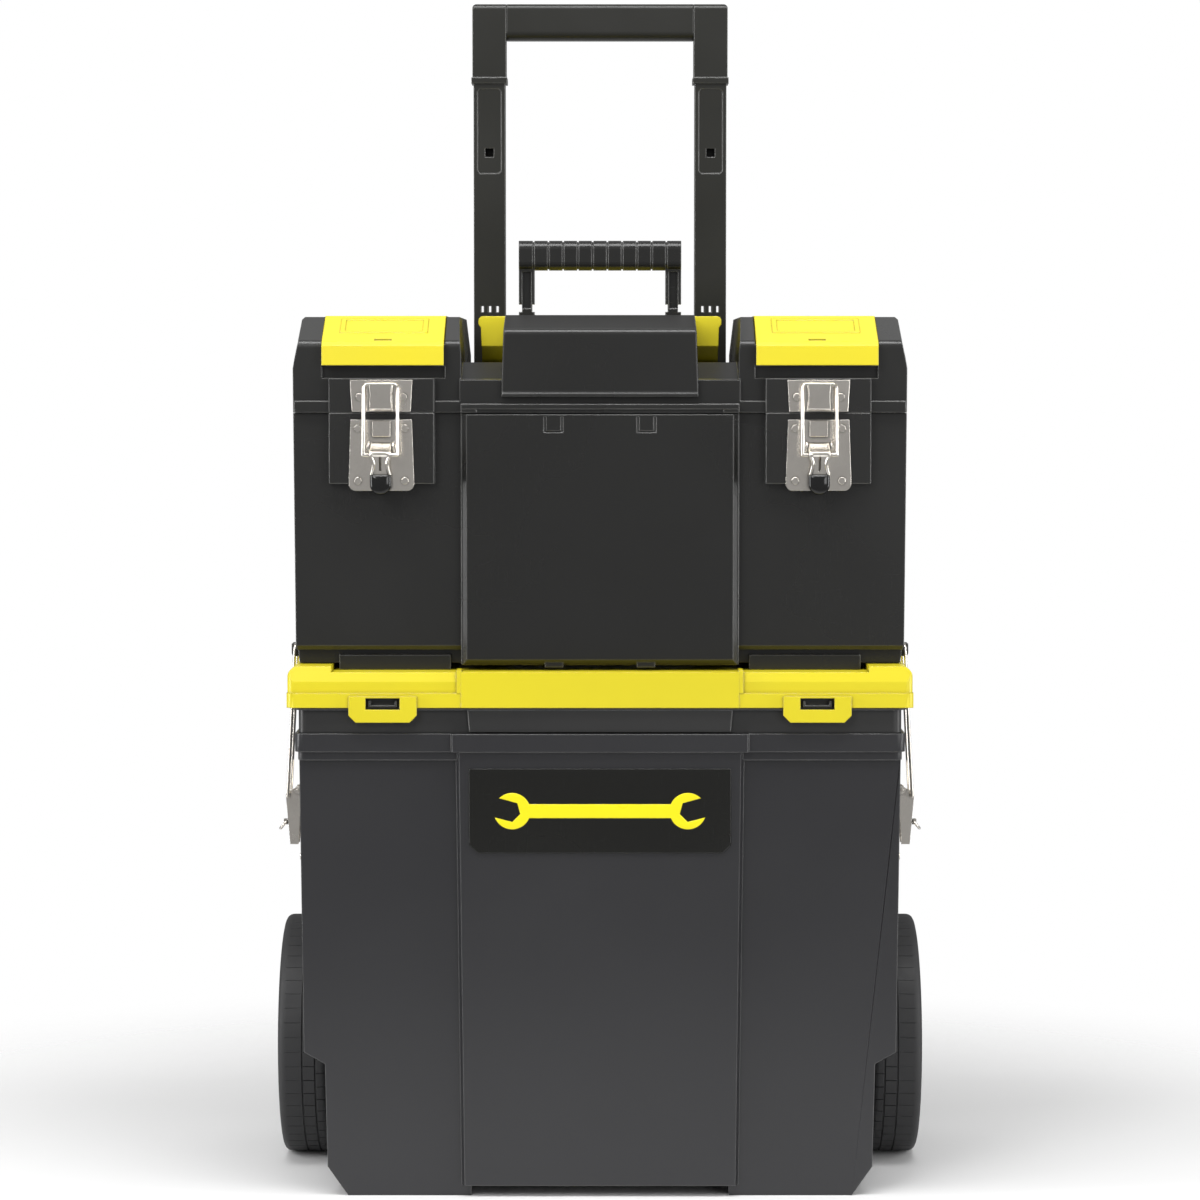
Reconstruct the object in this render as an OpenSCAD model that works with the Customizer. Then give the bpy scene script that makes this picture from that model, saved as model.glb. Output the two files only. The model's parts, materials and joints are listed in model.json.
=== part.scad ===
// Rolling tool box: a wheeled bin, a shallow tray with a snap lid, and a tool box stacked on top,
// with a telescopic pull handle behind them.
// Origin on the floor, midway across and midway front to back. +X right, +Y to the rear, +Z up.
// Inside the modules y is a depth: it is counted from the front face of the bin's rim.

/* [Bin] */
// Width of the bin under its rim
bin_w = 425; // [415:1:430]
// Height of the rim's top edge
bin_h = 333; // [328:1:336]
// Width of the rim
rim_w = 431; // [429:1:434]
// Height of the rim band
rim_h = 13; // [8:1:18]
// Depth of the back wall
bin_rear = 232; // [229:1:233]
// Thickness of the moulded walls
wall = 3; // [2:0.5:3.5]
// Width of the raised centre panel at its top
bin_panel_w = 199; // [160:1:206]

/* [Wheels] */
// Rolling radius
wheel_r = 89; // [86:0.5:90]
// Distance between the outer faces of the two tyres
track_w = 474; // [470:1:480]
// Width of a tyre
tyre_w = 37; // [34:1:38]
// Depth of the axle
axle_depth = 190; // [184:1:192]
// Radius of the axle
axle_r = 5; // [4:0.5:6]

/* [Tray] */
// Width of the tray's outer wall
tray_w = 426; // [424:1:430]
// Height of the tray's top edge
tray_top = 373; // [370:0.5:374]
// Depth of the basin that hangs into the bin
tray_sink = 36; // [20:1:50]
// Width of the yellow lid over its skirt
tray_lid_w = 442; // [440:1:443]
// Height of the skirt's lower edge
skirt_z = 351.4; // [350:0.2:354]
// Height of the ledges that the tool box stands on
ledge_z = 376.4; // [376:0.1:377]

/* [Tool box] */
// Width of the box at its mouth
box_w = 433.5; // [430:0.5:436]
// Height of the joint between box and lid
seam_z = 558.7; // [555:0.1:562]
// Height of the lid's crest
crest_z = 626.8; // [624:0.2:630]
// Width of the clip-in front panel
panel_w = 194; // [180:1:196]
// Width of each organiser lid
organiser_w = 86; // [78:1:86]
// How far the lid opens before it leans on the pull handle
lid_open = 50; // [30:1:52]

/* [Pull handle] */
// Height of the cross bar's top when extended
pull_top = 866; // [860:1:880]
// Width of each tube
tube_w = 24; // [22:0.5:24]
// Front-to-back size of each tube
tube_d = 22; // [18:0.5:22]
// Distance between the tube centres
tube_pitch = 168; // [168:1:170]
// How far the handle slides down
pull_travel = 232; // [200:1:236]

/* [Carry handle] */
// Width over the legs
carry_w = 119; // [110:1:122]
// Height of the grip's top
carry_top = 683.5; // [670:0.5:690]

/* [Latches] */
// Distance between the centres of the two front latches
latch_pitch = 308; // [300:1:312]
// Height of the front levers' pivots
latch_z = 535; // [533:0.5:536]
// Depth of the side latches
side_depth = 105; // [100:1:112]
// Height of the side levers' pivots
side_z = 283; // [280:0.5:286]

/* [Hidden] */
$fn = 48;

black = [0.17, 0.17, 0.165];
dark = [0.23, 0.23, 0.235];
yellow = [0.95, 0.89, 0.2];
steel = [0.75, 0.74, 0.71];
rubber = [0.12, 0.12, 0.12];

// A hair of overlap that keeps cuts clean, and the play round a pin in its bore
eps = 0.5;
play = 0.06;

// Bin
bin_half = bin_w / 2;
rim_z = bin_h - rim_h;
bin_front_top = 8;
bin_front_low = 22;
low_half = bin_half - 16.5;
notch_z = 95.5;
foot_in = 91.5;
foot_out = low_half - 16;
foot_rear = 148;
floor_z = 8;
step_z = 108;
well_gap = 10;
well_x = track_w / 2 - tyre_w - 4.5;

// Wheels
wheel_x = (track_w - tyre_w) / 2;
rim_r = wheel_r * 0.73;

// Pull handle
tube_x = tube_pitch / 2;
tube_front = 240;
tube_low = 300;
foot_h = 18;
collar_z = 806;
bar_h = 27;
guide_wall = 2.5;
guide_play = 0.5;
tube_fit = 0.2;
guide_top = 345;
guide_low = tube_low - foot_h - pull_travel - 5;

// Tool box and lid
box_half = box_w / 2;
box_front = 22;
panel_front = 12;
box_low = 396;
box_floor = 381;
rear = 232;
gap = 0.3;
lid_z = seam_z + gap;
block_in = 98;
block_bend_z = 608.7;
crest_depth = 60;
organiser_x = 110 + organiser_w / 2;
organiser_hinge = 150;
cover_half = 70;
hinge_depth = 233;
hinge_r = 4;
hinge_x = 150;

// Latches: the base plate stands on a pad, with the pivot in front of it
sheet = 1.2;
pad_offset = 6;
latch_x = latch_pitch / 2;
latch_pad = 14;
pad_half = 37;
latch_depth = latch_pad - pad_offset;
bail_arm = 11;
bail_arm_angle = 60;
bail_out = bail_arm * sin(bail_arm_angle);
bail_drop = bail_arm * cos(bail_arm_angle);
lever_boss = 3;
front_wire = 1.3;
front_bail_in = 7.5;
front_bail_len = 50;
front_bail_half = 12;
side_scale = 0.7;
side_wire = 1.2;
side_pad_x = 216.5;
side_x = side_pad_x + pad_offset * side_scale;
side_bail_in = 5.9;
side_bail_len = 110.5;
side_bail_half = 14;
side_bar_x = side_x + bail_out * side_scale - side_bail_in;
side_bar_z = side_z - bail_drop * side_scale
    + sqrt(side_bail_len * side_bail_len - side_bail_in * side_bail_in);
ring_out = 9;
ring_drop = 24;

// The front levers reach furthest forward and the tyres furthest back
latch_reach = bail_out + lever_boss - latch_depth;
overall_depth = latch_reach + axle_depth + wheel_r;
front_y = latch_reach - overall_depth / 2;

// ---------- helpers ----------

// Moves a piece drawn in depths to its place in the frame
module placed() {
    translate([0, front_y, 0]) children();
}

// Draws a piece on the right and again, mirrored, on the left
module both() {
    for (flip = [0, 1]) mirror([flip, 0, 0]) children();
}

// An outline of [depth, height] points swept along X
module side_prism(x0, x1, points) {
    translate([x0, 0, 0]) rotate([90, 0, 90]) linear_extrude(x1 - x0) polygon(points);
}

// An outline of [x, height] points swept along the depth
module front_prism(y0, y1, points) {
    translate([0, y1, 0]) rotate([90, 0, 0]) linear_extrude(y1 - y0) polygon(points);
}

// The right half of an outline, then its mirror image
function mirrored(points) =
    concat(points, [for (i = [len(points) - 1:-1:0]) [-points[i][0], points[i][1]]]);

// Points along an arc, for outlines
function arc(cx, cy, r, from, to, steps = 8) =
    [for (i = [0:steps]) let (a = from + (to - from) * i / steps)
        [cx + r * cos(a), cy + r * sin(a)]];

// A box between two corners
module block(low, high) {
    translate(low) cube(high - low);
}

// A flat rectangle with round corners
module rounded(x0, y0, x1, y1, r) {
    translate([x0 + r, y0]) square([x1 - x0 - 2 * r, y1 - y0]);
    translate([x0, y0 + r]) square([x1 - x0, y1 - y0 - 2 * r]);
    for (x = [x0 + r, x1 - r], y = [y0 + r, y1 - r]) translate([x, y]) circle(r);
}

// A cylinder along X
module rod(x0, x1, r) {
    translate([x0, 0, 0]) rotate([0, 90, 0]) cylinder(h = x1 - x0, r = r);
}

// A cylinder along the depth
module stud(y0, y1, r) {
    translate([0, y1, 0]) rotate([90, 0, 0]) cylinder(h = y1 - y0, r = r);
}

// A panel that stands proud of a leaning wall, with splayed sides
module raised_panel(half_top, half_low, z_low, z_top, y_top, y_low, proud, splay) {
    height = z_top - z_low;
    lean = atan((y_low - y_top) / height);
    taper = atan((half_top - half_low) / height);
    spare = 20;
    intersection() {
        block([-half_top - splay - 1, y_top - spare, z_low],
              [half_top + splay + 1, y_low + proud + spare, z_top]);
        for (flip = [0, 1])
            mirror([flip, 0, 0]) translate([0, y_low, z_low])
                rotate([lean, 0, 0]) rotate([0, taper, 0]) translate([0, 0, -spare])
                    linear_extrude(height + 2 * spare) polygon([
                        [-half_low / 2, 0], [half_low, 0], [half_low + splay, proud],
                        [-half_low / 2, proud]]);
    }
}

// ---------- bin ----------

// Depth of the leaning front wall at a height
function bin_front(z) = bin_front_low + (bin_front_top - bin_front_low) * z / rim_z;

module bin_outer() {
    intersection() {
        front_prism(0, bin_rear + 8, mirrored([
            [foot_in, floor_z], [foot_in + 0.5, 0], [foot_out, 0], [low_half - 1.5, 21],
            [low_half, notch_z], [bin_half - 1.6, notch_z + 8.5], [bin_half, rim_z],
            [bin_half, bin_h]]));
        side_prism(-bin_half, bin_half, [
            [bin_front_low, 0], [foot_rear, 0], [foot_rear, step_z], [bin_rear - 2, step_z],
            [bin_rear, rim_z], [bin_rear, bin_h], [bin_front_top, bin_h], [bin_front_top, rim_z]]);
    }
    raised_panel(bin_panel_w / 2, bin_panel_w / 2 - 3, floor_z, rim_z + 1, 2, 16, 8, 3);
}

// The hollow, one wall inside the outer shape
module bin_cavity() {
    intersection() {
        front_prism(0, bin_rear, mirrored([
            [foot_out - 1, floor_z + wall], [low_half - wall - 1.5, 24], [low_half - wall, notch_z + 2],
            [bin_half - wall - 1.6, notch_z + 12], [bin_half - wall, bin_h + 1]]));
        side_prism(-bin_half, bin_half, [
            [bin_front_low + wall, floor_z + wall], [foot_rear - wall, floor_z + wall],
            [foot_rear - wall, step_z + wall], [bin_rear - wall - 2, step_z + wall],
            [bin_rear - wall, bin_h + 1], [bin_front_top + wall, bin_h + 1]]);
    }
    raised_panel(bin_panel_w / 2 - wall, bin_panel_w / 2 - 3 - wall, floor_z + wall, rim_z - wall,
                 2 + wall, 16 + wall, 9, 3);
}

// The room round a wheel; extra makes it larger, for the wall that lines it
module wheel_well(extra) {
    r = wheel_r + well_gap + extra;
    x0 = well_x - extra;
    translate([0, axle_depth, wheel_r]) rod(x0, track_w / 2, r);
    block([x0, axle_depth, -extra], [track_w / 2, bin_rear + 20, wheel_r + r]);
    block([x0, axle_depth - r, -extra], [track_w / 2, axle_depth, wheel_r]);
}

module bin_rim() {
    bump = 105.3;
    translate([0, 0, rim_z]) linear_extrude(rim_h) {
        rounded(-rim_w / 2, 4, rim_w / 2, bin_rear + 3, 6);
        polygon([[-bump, 5], [-bump + 1, 0], [bump - 1, 0], [bump, 5]]);
    }
    // The rim's underside runs into the walls
    translate([0, 0, rim_z - 6]) linear_extrude(6)
        rounded(-bin_half - 1, bin_front_top - 2, bin_half + 1, bin_rear + 1, 6);
}

// A pad on each side for the side latch, and one behind for each guide channel
module bin_pads() {
    both() {
        front_prism(side_depth - 25, side_depth + 25, [
            [bin_half - 4, 205], [side_pad_x, 214], [side_pad_x, 303], [bin_half - 4, 308]]);
        block([tube_x - 17, bin_rear - 3, step_z + 4],
              [tube_x + 17, tube_front - guide_play - guide_wall, 316]);
    }
}

// Ribs under the raised floor that carry the axle
module axle_ribs() {
    both() for (x = [57, well_x - wall - 9])
        side_prism(x, x + 7, [
            [axle_depth - 26, step_z + 1], [axle_depth + 26, step_z + 1],
            [axle_depth + 11, wheel_r - 11], [axle_depth - 11, wheel_r - 11]]);
}

module bin_shell() {
    color(dark) placed() difference() {
        union() {
            difference() {
                union() {
                    bin_outer();
                    bin_pads();
                }
                both() wheel_well(0);
            }
            bin_rim();
            axle_ribs();
        }
        difference() {
            bin_cavity();
            both() wheel_well(wall);
        }
        translate([0, axle_depth, wheel_r]) rod(-track_w / 2, track_w / 2, axle_r + play);
    }
}

label_z = 248;
label_h = 60.5;
label_half = 92.5;
label_t = 1;
panel_lean = atan(14 / (rim_z + 1 - floor_z));

// Puts a flat piece, drawn upright, on the bin's leaning centre panel
module on_label(out) {
    translate([0, 2 + (rim_z + 1 - label_z) * tan(panel_lean) - out / cos(panel_lean), label_z])
        rotate([panel_lean, 0, 0]) children();
}

module bin_label() {
    corner = 6;
    color(black) placed() on_label(label_t)
        front_prism(0, label_t, mirrored([
            [label_half - corner, 0], [label_half, corner], [label_half, label_h]]));
}

// A plain double-ended spanner
module label_emblem() {
    head_x = 62;
    head_r = 13;
    jaw = 8;
    shaft = 5;
    t = 0.5;
    color(yellow) placed() on_label(label_t + t) translate([0, t, label_h / 2])
        rotate([90, 0, 0]) linear_extrude(t) difference() {
            union() {
                square([2 * head_x, 2 * shaft], center = true);
                for (s = [-1, 1]) translate([s * head_x, 0]) circle(head_r);
            }
            for (s = [-1, 1]) translate([s * (head_x + 2), 0]) rotate(s * 15) {
                translate([s * head_r, 0]) square([2 * head_r, 2 * jaw - 2], center = true);
                circle(jaw, $fn = 6);
            }
        }
}

// ---------- wheels ----------

module axle() {
    color(steel) placed() translate([0, axle_depth, wheel_r]) rod(-track_w / 2 + 6, track_w / 2 - 6, axle_r);
}

module axle_spacers() {
    color(steel) placed() both() translate([0, axle_depth, wheel_r]) difference() {
        rod(well_x - wall - 1.7, track_w / 2 - tyre_w - 1, axle_r + 4);
        rod(well_x - wall - 3, track_w / 2, axle_r + play);
    }
}

// A wheel's pieces are drawn round X with their middle at x = 0 and their outer face at +X
module at_wheel(side) {
    placed() translate([side * wheel_x, axle_depth, wheel_r])
        rotate([0, side > 0 ? 90 : -90, 0]) children();
}

module wheel_hub(side) {
    half = tyre_w / 2 - 1;
    boss_r = 15;
    spoke = 7;
    color(black) at_wheel(side) difference() {
        union() {
            rotate_extrude($fn = 72) polygon([
                [0, -half], [boss_r, -half], [boss_r + 2, -3], [rim_r - 8, -3], [rim_r - 6, -half],
                [rim_r, -half], [rim_r, half - 2], [rim_r - 6, half - 2], [rim_r - 9, 3],
                [boss_r + 2, 3], [boss_r, half - 5], [0, half - 5]]);
            for (a = [0:60:300]) rotate([0, 0, a])
                block([boss_r - 2, -spoke / 2, 2], [rim_r - 5, spoke / 2, half - 6]);
        }
        translate([0, 0, -half - 1]) cylinder(h = 2 * half + 2, r = axle_r + play);
    }
}

module tyre(side) {
    half = tyre_w / 2;
    groove = 1.6;
    color(rubber) at_wheel(side) rotate_extrude($fn = 96) polygon([
        [rim_r, -half], [wheel_r - 9, -half], [wheel_r - 3, -half + 2], [wheel_r, -half + 5],
        [wheel_r, 0], [wheel_r - 3, 0.5], [wheel_r - 3, 0.5 + groove], [wheel_r, 1 + groove],
        [wheel_r, half - 6], [wheel_r - 0.9, half - 2.6], [wheel_r - 3.2, half - 0.7],
        [wheel_r - 7, half], [rim_r, half - 1]]);
}

module hub_cap(side) {
    base = tyre_w / 2 - 6;
    inner = axle_r + 0.4;
    color(black) at_wheel(side) difference() {
        union() {
            translate([0, 0, base]) cylinder(h = 1.5, r = 13);
            translate([0, 0, base + 1.5]) cylinder(h = 3, r1 = 12, r2 = 8, $fn = 48);
        }
        translate([0, 0, base - 1]) cylinder(h = 2.6, r = inner);
    }
}

// ---------- pull handle ----------

// A rectangle round a tube's axis; grow is added on every side
module tube_section(grow) {
    square([tube_w + 2 * grow, tube_d + 2 * grow], center = true);
}

module at_tube(side) {
    placed() translate([side * tube_x, tube_front + tube_d / 2, 0]) children();
}

module guide(side) {
    color(black) at_tube(side) difference() {
        union() {
            translate([0, 0, guide_low]) linear_extrude(guide_top - guide_low)
                tube_section(guide_play + guide_wall);
            translate([0, 0, bin_h + 1]) linear_extrude(guide_top - bin_h - 1)
                tube_section(guide_play + guide_wall + 0.4);
        }
        translate([0, 0, guide_low + 3]) linear_extrude(guide_top - guide_low - 9)
            tube_section(guide_play);
        translate([0, 0, guide_top - 10]) linear_extrude(12) tube_section(tube_fit);
    }
}

guide_screw_z = [step_z + 24, 225, 300];

module guide_screws() {
    head_y = tube_front + tube_d + guide_play + guide_wall;
    color(steel) placed() both() for (z = guide_screw_z) translate([tube_x, 0, z]) difference() {
        stud(head_y, head_y + 2, 4);
        block([-2.6, head_y + 1, -0.5], [2.6, head_y + 3, 0.5]);
        block([-0.5, head_y + 1, -2.6], [0.5, head_y + 3, 2.6]);
    }
}

module handle_tube(side) {
    thick = 2;
    slot_w = 2.2;
    slot_pitch = 5.7;
    color(black) at_tube(side) difference() {
        translate([0, 0, tube_low]) linear_extrude(collar_z - tube_low) tube_section(0);
        translate([0, 0, tube_low - 1]) linear_extrude(collar_z - tube_low - 4) tube_section(-thick);
        // Shallow panel under the grip, the spring catch's hole, and the comb of slots lower down
        translate([0, -tube_d, 0]) front_prism(0, tube_d / 2 + 0.5, mirrored([
            [7, 738], [9, 740], [9, collar_z - 6], [7, collar_z - 4]]));
        block([-3.2, -tube_d, 750.5], [3.2, 0, 757]);
        for (i = [-1, 0, 1])
            block([i * slot_pitch - slot_w / 2, -tube_d, 633], [i * slot_pitch + slot_w / 2, tube_d, 637.8]);
    }
}

module tube_foot(side) {
    color(black) at_tube(side) translate([0, 0, tube_low - foot_h]) linear_extrude(foot_h) tube_section(0.3);
}

// Height of the grip's underside
grip_low = pull_top - bar_h;
grip_grow = 0.8;
grip_round = 4;
collar_grow = 1.6;
collar_h = 4.5;

// The grip's outline from the side, between two depths
module grip_profile(x0, x1, y0, y1, low_r) {
    r = grip_round;
    side_prism(x0, x1, concat(
        low_r > 0
            ? concat(arc(y0 + low_r, grip_low + low_r, low_r, 180, 270),
                     arc(y1 - low_r, grip_low + low_r, low_r, 270, 360))
            : [[y0, collar_z - 1], [y1, collar_z - 1]],
        arc(y1 - r, pull_top - r, r, 0, 90), arc(y0 + r, pull_top - r, r, 90, 180)));
}

module grip_corner(side) {
    r = 3.5;
    deep = tube_d / 2 + grip_grow;
    color(black) at_tube(side) {
        intersection() {
            translate([0, 0, collar_z]) linear_extrude(pull_top - collar_z) tube_section(grip_grow);
            front_prism(-tube_d, tube_d, concat(
                [[-20 * side, collar_z - 1], [20 * side, collar_z - 1]],
                side > 0
                    ? concat(arc(tube_w / 2 + grip_grow - r, pull_top - r, r, 0, 90), [[-20, pull_top]])
                    : concat(arc(-tube_w / 2 - grip_grow + r, pull_top - r, r, 180, 90),
                             [[20, pull_top]])));
            grip_profile(-tube_w, tube_w, -deep, deep, 0);
        }
        translate([0, 0, collar_z]) linear_extrude(collar_h) tube_section(collar_grow);
    }
}

module grip_bar() {
    half = tube_x - tube_w / 2 - grip_grow;
    color(black) placed()
        grip_profile(-half, half, tube_front - grip_grow, tube_front + tube_d + grip_grow, 6);
}

// ---------- tray ----------

tray_front = 6;
basin_gap = 3.5;
tray_z = bin_h + gap;

module tray_body() {
    in_half = bin_half - wall - basin_gap;
    y0 = bin_front_top + wall + basin_gap;
    y1 = bin_rear - wall - basin_gap;
    color(black) placed() difference() {
        union() {
            translate([0, 0, tray_z]) linear_extrude(tray_top - tray_z)
                rounded(-tray_w / 2, tray_front, tray_w / 2, bin_rear, 6);
            translate([0, 0, tray_z - tray_sink]) linear_extrude(tray_sink + 1)
                rounded(-in_half, y0, in_half, y1, 6);
            // Centre of the front wall, and the flange that the skirt closes on
            front_prism(3, tray_front + 2, mirrored([[92, tray_z + 1], [95, tray_top - 4]]));
            translate([0, 0, skirt_z - 1.6]) linear_extrude(1.6)
                rounded(-tray_w / 2 - 3, 2.4, tray_w / 2 + 3, bin_rear + 2, 6);
        }
        translate([0, 0, tray_z - tray_sink + wall]) linear_extrude(tray_top)
            rounded(-in_half + wall, y0 + wall, in_half - wall, y1 - wall, 5);
        // The wires of the side latches pass here
        both() block([217, side_depth - 20, skirt_z - 3], [225, side_depth + 20, skirt_z + 2]);
    }
    color(black) placed() both() tray_nub();
}

// The U-shaped catch under a snap tab's slot
module tray_nub() {
    x = tab_x;
    block([x - 10, nub_front, skirt_z + 0.6], [x + 10, tray_front + 1, skirt_z + 2]);
    for (dx = [-10, 8.6])
        block([x + dx, nub_front, skirt_z + 1], [x + dx + 1.4, tray_front + 1, skirt_z + 4.8]);
}

tab_x = 153;
tab_half = 24;
tab_low = 341.2;
nub_front = 0.1;
skirt_t = 2.5;

module tray_lid() {
    half = tray_lid_w / 2;
    front = 0.5;
    back = bin_rear + 3;
    centre = 98;
    edge_z = 380.5;
    corner = 189.5;
    side_front = 2.4;
    line_z = 361.7;
    color(yellow) placed() difference() {
        union() {
            // Skirt band, then the set-back upper part, whose ends are rounded over
            translate([0, 0, skirt_z]) linear_extrude(line_z - skirt_z) rounded(-half, front, half, back, 5);
            intersection() {
                translate([0, 0, line_z - 1]) linear_extrude(edge_z - line_z + 1)
                    rounded(-half + 0.5, side_front, half - 0.5, back - 1, 5);
                front_prism(0, back, mirrored(concat(
                    [[half, line_z - 1], [half - 0.5, edge_z - 12]],
                    arc(half - 8.5, edge_z - 8, 8, 0, 90), [[corner, edge_z], [corner, ledge_z]])));
            }
            block([-centre, 0, skirt_z], [centre, 30, ledge_z + 0.4]);
            both() {
                block([centre - 0.5, 0.2, line_z], [centre + 3, 20, 378]);
                front_prism(-1.5, 1.5, [
                    [tab_x - tab_half, line_z - 2], [tab_x + tab_half, line_z - 2],
                    [tab_x + tab_half, tab_low + 5], [tab_x + tab_half - 5, tab_low],
                    [tab_x - tab_half + 5, tab_low], [tab_x - tab_half, tab_low + 5]]);
            }
        }
        // Hollow underneath
        difference() {
            translate([0, 0, tab_low - 1]) linear_extrude(tray_top + 0.3 - tab_low + 1)
                rounded(-half + skirt_t, 2.2, half - skirt_t, back - skirt_t, 4);
            both() {
                block([centre - 1.5, 0, line_z - 2], [half, side_front + 2.2, tray_top + 5]);
                block([214.2, side_depth - 23, skirt_z - 20], [half, side_depth + 23, tray_top + 5]);
            }
        }
        both() {
            block([tab_x - 12, -3, skirt_z - 1], [tab_x + 12, tray_front, skirt_z + 7]);
            // Channel that lets the catch out when the lid is lifted
            block([tab_x - 11, nub_front - gap, tab_low - 1], [tab_x + 11, 3, skirt_z]);
            // Slope at the top of the set-back wall
            side_prism(centre + 3.2, half + 1, [
                [side_front - 1, 369.7], [side_front, 369.7], [side_front + 3, edge_z + 1],
                [side_front - 1, edge_z + 1]]);
            block([217.2, side_depth - 20, skirt_z - 1], [half + 1, side_depth + 20, edge_z + 1]);
        }
    }
}

// ---------- tool box ----------

box_bottom = ledge_z + gap;
// The front wall ends above a recess
recess_y = box_front + 12;
recess_z = 391;

module box_outer() {
    under = 8;
    intersection() {
        front_prism(0, rear + 4, mirrored([
            [box_half - 3, box_floor], [box_half - 1.2, box_low], [box_half, seam_z]]));
        side_prism(-box_half, box_half, [
            [recess_y, box_floor], [rear - under, box_floor], [rear, box_low], [rear, seam_z],
            [box_front, seam_z], [box_front, recess_z + 3], [box_front + 2.5, recess_z],
            [recess_y, recess_z]]);
    }
    // Centre of the front wall, behind the clip-in panel, and the four feet
    block([-block_in, box_front - 6, box_floor], [block_in, box_front + 30, seam_z]);
    both() for (y = [recess_y - 7, rear - 50])
        block([106, y, box_bottom], [185, y + 26, box_floor + 6]);
}

// The latch pad of the box or, higher up, of the lid
module latch_pad_block(z0, z1) {
    both() block([latch_x - pad_half, latch_pad, z0], [latch_x + pad_half, box_front + 2, z1]);
}

// A knuckle of the lid's hinge and the web that joins it to its wall
module hinge_knuckle(x0, x1, up) {
    translate([0, hinge_depth, seam_z + gap / 2]) rod(x0, x1, hinge_r);
    z = seam_z + gap / 2;
    block([x0, rear - 2, up > 0 ? z + 0.6 : z - 9], [x1, hinge_depth + 2, up > 0 ? z + 9 : z - 0.6]);
}

// Where the other side's knuckle turns
module hinge_pocket(x0, x1) {
    translate([0, hinge_depth, seam_z + gap / 2]) rod(x0 - 0.4, x1 + 0.4, hinge_r + 0.6);
}

knuckle_ends = [[hinge_x - 30, hinge_x - 16], [hinge_x + 16, hinge_x + 30]];
knuckle_mid = [hinge_x - 15.6, hinge_x + 15.6];
pin_r = 2;

module side_hook() {
    top = side_bar_z - side_wire - gap;
    bar_x = side_bar_x;
    front_prism(side_depth - 9, side_depth + 9, [
        [box_half - 6, top - 7], [bar_x + 2, top - 7], [bar_x + 3, top - 5], [bar_x + 3, top + 2],
        [bar_x + 1.6, top + 2], [bar_x + 1.6, top], [box_half + 0.6, top], [box_half, top + 14],
        [box_half - 6, top + 14]]);
}

module box_shell() {
    inner = box_half - wall;
    color(black) placed() difference() {
        union() {
            box_outer();
            latch_pad_block(latch_z - 26, seam_z);
            both() {
                for (k = knuckle_ends) hinge_knuckle(k[0], k[1], -1);
                side_hook();
            }
        }
        // Hollow
        intersection() {
            front_prism(0, rear, mirrored([
                [inner - 3.5, box_floor + wall], [inner - 1.2, box_low + 1], [inner, seam_z + 1]]));
            side_prism(-inner, inner, [
                [recess_y + wall, box_floor + wall], [rear - 10, box_floor + wall],
                [rear - wall, box_low + 2], [rear - wall, seam_z + 1], [box_front + wall, seam_z + 1],
                [box_front + wall, recess_z + wall], [recess_y + wall, recess_z + wall]]);
        }
        both() {
            hinge_pocket(knuckle_mid[0], knuckle_mid[1]);
            translate([0, hinge_depth, seam_z + gap / 2]) rod(100, 200, pin_r);
            // Holes for the front panel's clips
            block([25, box_front - 7, 543], [41, box_front - 1, 556]);
        }
    }
}

module box_front_panel() {
    half = panel_w / 2;
    top = seam_z - 1;
    back = box_front - 6;
    edge = 3;
    panel_low = 380.6;
    color(black) placed() difference() {
        intersection() {
            side_prism(-half, half, [
                [panel_front, panel_low + 4], [panel_front, top], [back, top], [back, panel_low]]);
            translate([0, 0, panel_low - 1]) linear_extrude(top)
                polygon([[-half, back], [-half, back - 0.6], [-half + edge, panel_front],
                         [half - edge, panel_front], [half, back - 0.6], [half, back]]);
        }
        // Frame round each clip
        both() {
            for (x = [26, 38]) block([x, 0, 546], [x + 1.5, panel_front + 0.8, 556]);
            block([26, 0, 545], [39.5, panel_front + 0.8, 546.2]);
        }
    }
    // Tabs at the foot
    color(black) placed() both() block([26, panel_front + 1.6, panel_low - 1.5], [39, back, panel_low + 4]);
}

module tote_tray() {
    half = 198;
    y0 = 34;
    y1 = 214;
    z0 = 498;
    z1 = 549;
    t = 2.5;
    grip_z = z1 - 8;
    color(dark) placed() {
        difference() {
            translate([0, 0, z0]) linear_extrude(z1 - z0) rounded(-half, y0, half, y1, 8);
            translate([0, 0, z0 + t]) linear_extrude(z1) rounded(-half + t, y0 + t, half - t, y1 - t, 6);
        }
        // Divider with a finger hole
        difference() {
            block([-half + 1, (y0 + y1) / 2 - 2, z0 + 1], [half - 1, (y0 + y1) / 2 + 2, z1]);
            block([-45, y0, grip_z - 22], [45, y1, grip_z]);
        }
    }
}

// ---------- lid ----------

notch_in = tube_x - tube_w / 2 - 2.5;
tube_slack = tube_front - hinge_depth - 1;

// How far forward, and how high at its rear edge, the deck may be and still clear the tubes when open
low_z = 594.4;
notch_y = hinge_depth - 4 - ((low_z - seam_z) * sin(lid_open) - tube_slack) / cos(lid_open);
shelf_z = seam_z - 1.5 + (tube_slack + (hinge_depth - rear) * cos(lid_open)) / sin(lid_open);

module lid_blocks() {
    slope = atan((crest_z - block_bend_z) / (crest_depth - box_front));
    bend_r = 6;
    both() intersection() {
        side_prism(block_in, box_half + 1, concat(
            [[box_front, lid_z], [rear, lid_z], [rear, 600], [rear - 22, crest_z],
             [crest_depth, crest_z]],
            arc(box_front + bend_r, block_bend_z - bend_r * tan(45 - slope / 2), bend_r,
                90 + slope, 180, 6)));
        front_prism(0, rear + 1, [
            [block_in - 1, lid_z - 1], [box_half, lid_z - 1], [box_half + 0.2, 590], [box_half - 1, 597],
            [box_half - 3.5, block_bend_z], [box_half - 4, crest_z - 2], [box_half - 6, crest_z],
            [block_in + 2.5, crest_z], [block_in, 600]]);
    }
}

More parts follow.
